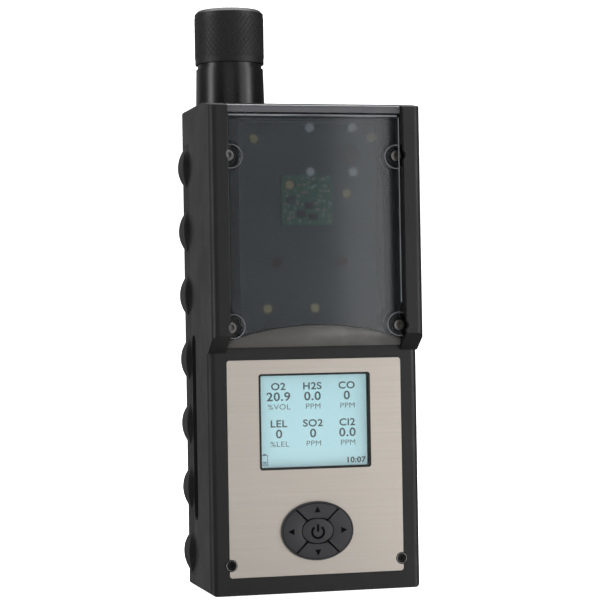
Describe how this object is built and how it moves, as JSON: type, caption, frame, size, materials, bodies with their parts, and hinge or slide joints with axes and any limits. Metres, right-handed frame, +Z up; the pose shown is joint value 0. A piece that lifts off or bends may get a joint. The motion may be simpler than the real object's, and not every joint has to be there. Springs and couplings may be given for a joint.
{
  "type": "portable gas detector",
  "caption": "Handheld gas monitor with smoked pump window, steel face plate, lit display, arrow keypad, ribbed side grips, knurled sampling inlet and belt clip.",
  "frame": {"origin": "middle of the bottom resting face", "axes": "+Z up to the sampling inlet, -Y out of the display face, +X to the right of a person facing the display"},
  "size_m": [0.0642, 0.055, 0.1669],
  "materials": {
    "case_black": "fine matt texture",
    "grip_rubber": "satin rubber",
    "seal_rubber": "matt",
    "keypad_rubber": "matt",
    "plate_steel": "brushed, long grain across",
    "screw_steel": "dark zinc",
    "screw_black": "black oxide",
    "lens_clear": "clear, polished",
    "lcd_screen": "pale blue-green, lit",
    "window_smoke": "smoked, polished",
    "board_green": "solder mask",
    "spacer_brass": "turned",
    "contact_gold": "gold plated",
    "dome_steel": "stamped",
    "pack_film": "dark blue",
    "cell_can": "plated can",
    "manifold_grey": "moulded",
    "filter_white": "porous",
    "sensor_can": "moulded",
    "sounder_black": "moulded",
    "led_red": "clear dome",
    "motor_steel": "drawn can",
    "weight_brass": "sintered",
    "plunger_white": "moulded",
    "tube_silicone": "silicone",
    "ir_red": "dark red",
    "clip_steel": "black coated",
    "spring_steel": "drawn wire"
  },
  "bodies": {
    "case": {"alarm_leds": "led_red", "back_housing": "case_black", "battery_case": "pack_film", "battery_cells": "cell_can", "battery_cover": "case_black", "battery_springs": "contact_gold", "board_spacers": "spacer_brass", "charge_contacts": "contact_gold", "clip_base": "clip_steel", "clip_pin": "screw_steel", "clip_screws": "screw_black", "clip_spring": "spring_steel", "cover_screws": "screw_black", "display_board": "board_green", "display_gasket": "seal_rubber", "display_lens": "lens_clear", "face_plate": "plate_steel", "front_housing": "case_black", "grip_left": "grip_rubber", "grip_right": "grip_rubber", "housing_screws": "screw_steel", "housing_seal": "seal_rubber", "inlet_barrel": "case_black", "intake_tube": "tube_silicone", "ir_window": "ir_red", "key_domes": "dome_steel", "keypad_frame": "keypad_rubber", "lcd_module": "lcd_screen", "main_board": "board_green", "manifold_screws": "spacer_brass", "module_board": "board_green", "plate_screws": "screw_black", "port_filters": "filter_white", "pump_frame": "case_black", "pump_head": "manifold_grey", "pump_motor": "motor_steel", "pump_window": "window_smoke", "sensor_board": "board_green", "sensor_combustible": "sensor_can", "sensor_dioxide": "sensor_can", "sensor_manifold": "manifold_grey", "sensor_monoxide": "sensor_can", "sensor_oxygen": "sensor_can", "sensor_sulphide": "sensor_can", "sounder": "sounder_black", "vibration_motor": "motor_steel", "window_screws": "screw_steel", "window_seal": "seal_rubber"},
    "key_up_body": {"key_up": "keypad_rubber"},
    "key_down_body": {"key_down": "keypad_rubber"},
    "key_left_body": {"key_left": "keypad_rubber"},
    "key_right_body": {"key_right": "keypad_rubber"},
    "key_enter_body": {"key_enter": "keypad_rubber"},
    "inlet_insert_body": {"inlet_insert": "plunger_white", "dust_filter": "filter_white"},
    "inlet_cap_body": {"inlet_cap": "case_black"},
    "pump_eccentric_body": {"pump_eccentric": "weight_brass"},
    "pump_plunger_body": {"pump_plunger": "plunger_white"},
    "vibration_weight_body": {"vibration_weight": "weight_brass"},
    "clip_arm_body": {"clip_arm": "clip_steel"}
  },
  "joints": [
    {"name": "key_up_press", "type": "slide", "parent": "case", "child": "key_up_body", "axis": [0, 1, 0], "range_m": [0, 0.0006], "stiffness_N_per_m": 1500},
    {"name": "key_down_press", "type": "slide", "parent": "case", "child": "key_down_body", "axis": [0, 1, 0], "range_m": [0, 0.0006], "stiffness_N_per_m": 1500},
    {"name": "key_left_press", "type": "slide", "parent": "case", "child": "key_left_body", "axis": [0, 1, 0], "range_m": [0, 0.0006], "stiffness_N_per_m": 1500},
    {"name": "key_right_press", "type": "slide", "parent": "case", "child": "key_right_body", "axis": [0, 1, 0], "range_m": [0, 0.0006], "stiffness_N_per_m": 1500},
    {"name": "key_enter_press", "type": "slide", "parent": "case", "child": "key_enter_body", "axis": [0, 1, 0], "range_m": [0, 0.0006], "stiffness_N_per_m": 1500},
    {"name": "inlet_lift", "type": "slide", "parent": "case", "child": "inlet_insert_body", "axis": [0, 0, 1], "range_m": [0, 0.0024]},
    {"name": "inlet_cap_turn", "type": "hinge", "parent": "inlet_insert_body", "child": "inlet_cap_body", "pos_m": [-0.0176, 0.006, 0.16], "axis": [0, 0, 1], "range_deg": [0, 360]},
    {"name": "pump_eccentric_spin", "type": "hinge", "parent": "case", "child": "pump_eccentric_body", "pos_m": [0.009, 0.0087, 0.113], "axis": [0, 0, 1], "continuous": true},
    {"name": "pump_plunger_stroke", "type": "slide", "parent": "case", "child": "pump_plunger_body", "axis": [1, 0, 0], "range_m": [-0.0004, 0.0004]},
    {"name": "vibration_weight_spin", "type": "hinge", "parent": "case", "child": "vibration_weight_body", "pos_m": [-0.0157, 0.0072, 0.09], "axis": [1, 0, 0], "continuous": true},
    {"name": "clip_arm_swing", "type": "hinge", "parent": "case", "child": "clip_arm_body", "pos_m": [0, 0.0244, 0.108], "axis": [1, 0, 0], "range_deg": [0, 20], "stiffness_Nm_per_rad": 0.35, "springref_deg": -14.9}
  ],
  "couplings": [
    {"joint": "inlet_lift", "follows": "inlet_cap_turn", "m_per_rad": 0.00038197}
  ]
}
